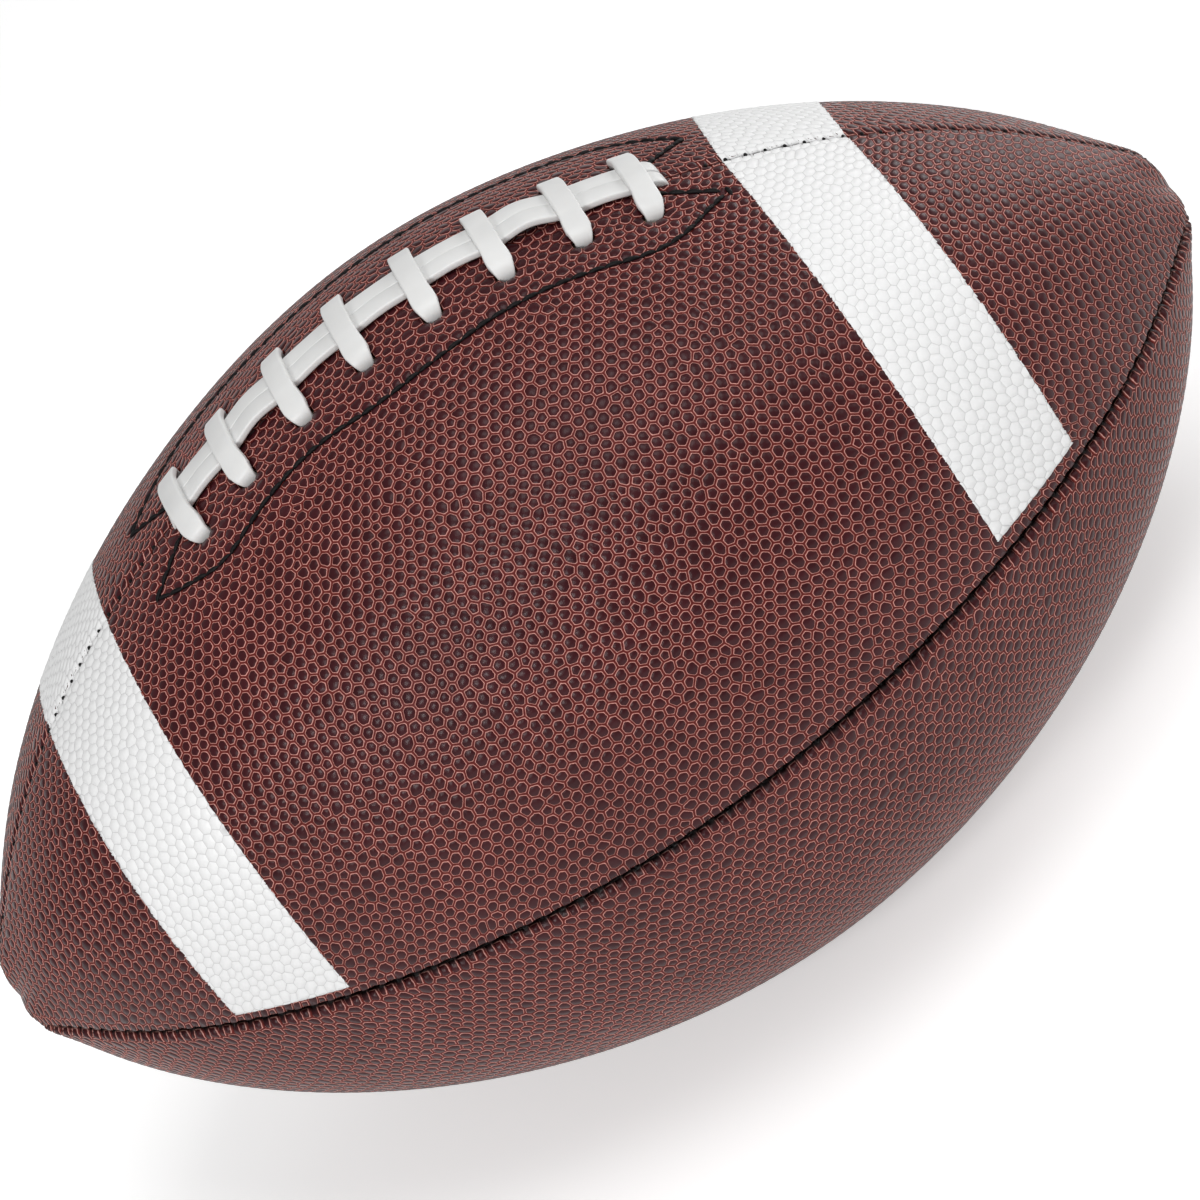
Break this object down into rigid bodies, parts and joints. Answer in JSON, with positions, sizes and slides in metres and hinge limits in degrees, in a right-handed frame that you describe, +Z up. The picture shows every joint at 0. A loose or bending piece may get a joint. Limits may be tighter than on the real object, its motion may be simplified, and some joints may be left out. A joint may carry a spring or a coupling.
{
  "type": "american football",
  "caption": "Laced american football: four sewn pebbled leather panels with white end stripes over fabric linings, a rubber bladder with its needle valve, and a strap lace.",
  "frame": {"origin": "on the floor below the middle of the ball, with the ball lying on its bottom seam and its laces up", "axes": "+X along the ball from tip to tip, towards the picture's upper right tip; -Y towards the panel that faces the camera; +Z up through the laces"},
  "size_m": [0.29, 0.1642, 0.1702],
  "materials": {
    "cover_leather": "pebbled composite leather, dark raised pebbles over red-brown valleys, satin",
    "lining_fabric": "laminated woven cotton, undyed",
    "white_coating": "white coating over the pebbles, satin",
    "black_thread": "waxed black polyester thread",
    "facing_fabric": "coated reinforcing cloth",
    "lace_strap": "smooth white strap, slight sheen",
    "tongue_rubber": "smooth sheet",
    "bladder_rubber": "moulded, dull",
    "valve_rubber": "moulded, dull",
    "core_rubber": "moulded, dull"
  },
  "bodies": {
    "root": {"panel_top_near": "cover_leather", "panel_top_far": "cover_leather", "panel_bottom_near": "cover_leather", "panel_bottom_far": "cover_leather", "lining_top_near": "lining_fabric", "lining_top_far": "lining_fabric", "lining_bottom_near": "lining_fabric", "lining_bottom_far": "lining_fabric", "stripe_near_right": "white_coating", "stripe_near_left": "white_coating", "stripe_far_right": "white_coating", "stripe_far_left": "white_coating", "seam_thread_top": "black_thread", "seam_thread_near": "black_thread", "seam_thread_far": "black_thread", "seam_thread_bottom": "black_thread", "facing_near": "facing_fabric", "facing_far": "facing_fabric", "facing_stitch_near": "black_thread", "facing_stitch_far": "black_thread", "lace": "lace_strap", "tongue": "tongue_rubber", "bladder": "bladder_rubber", "valve_body": "valve_rubber", "valve_core": "core_rubber"}
  },
  "joints": []
}
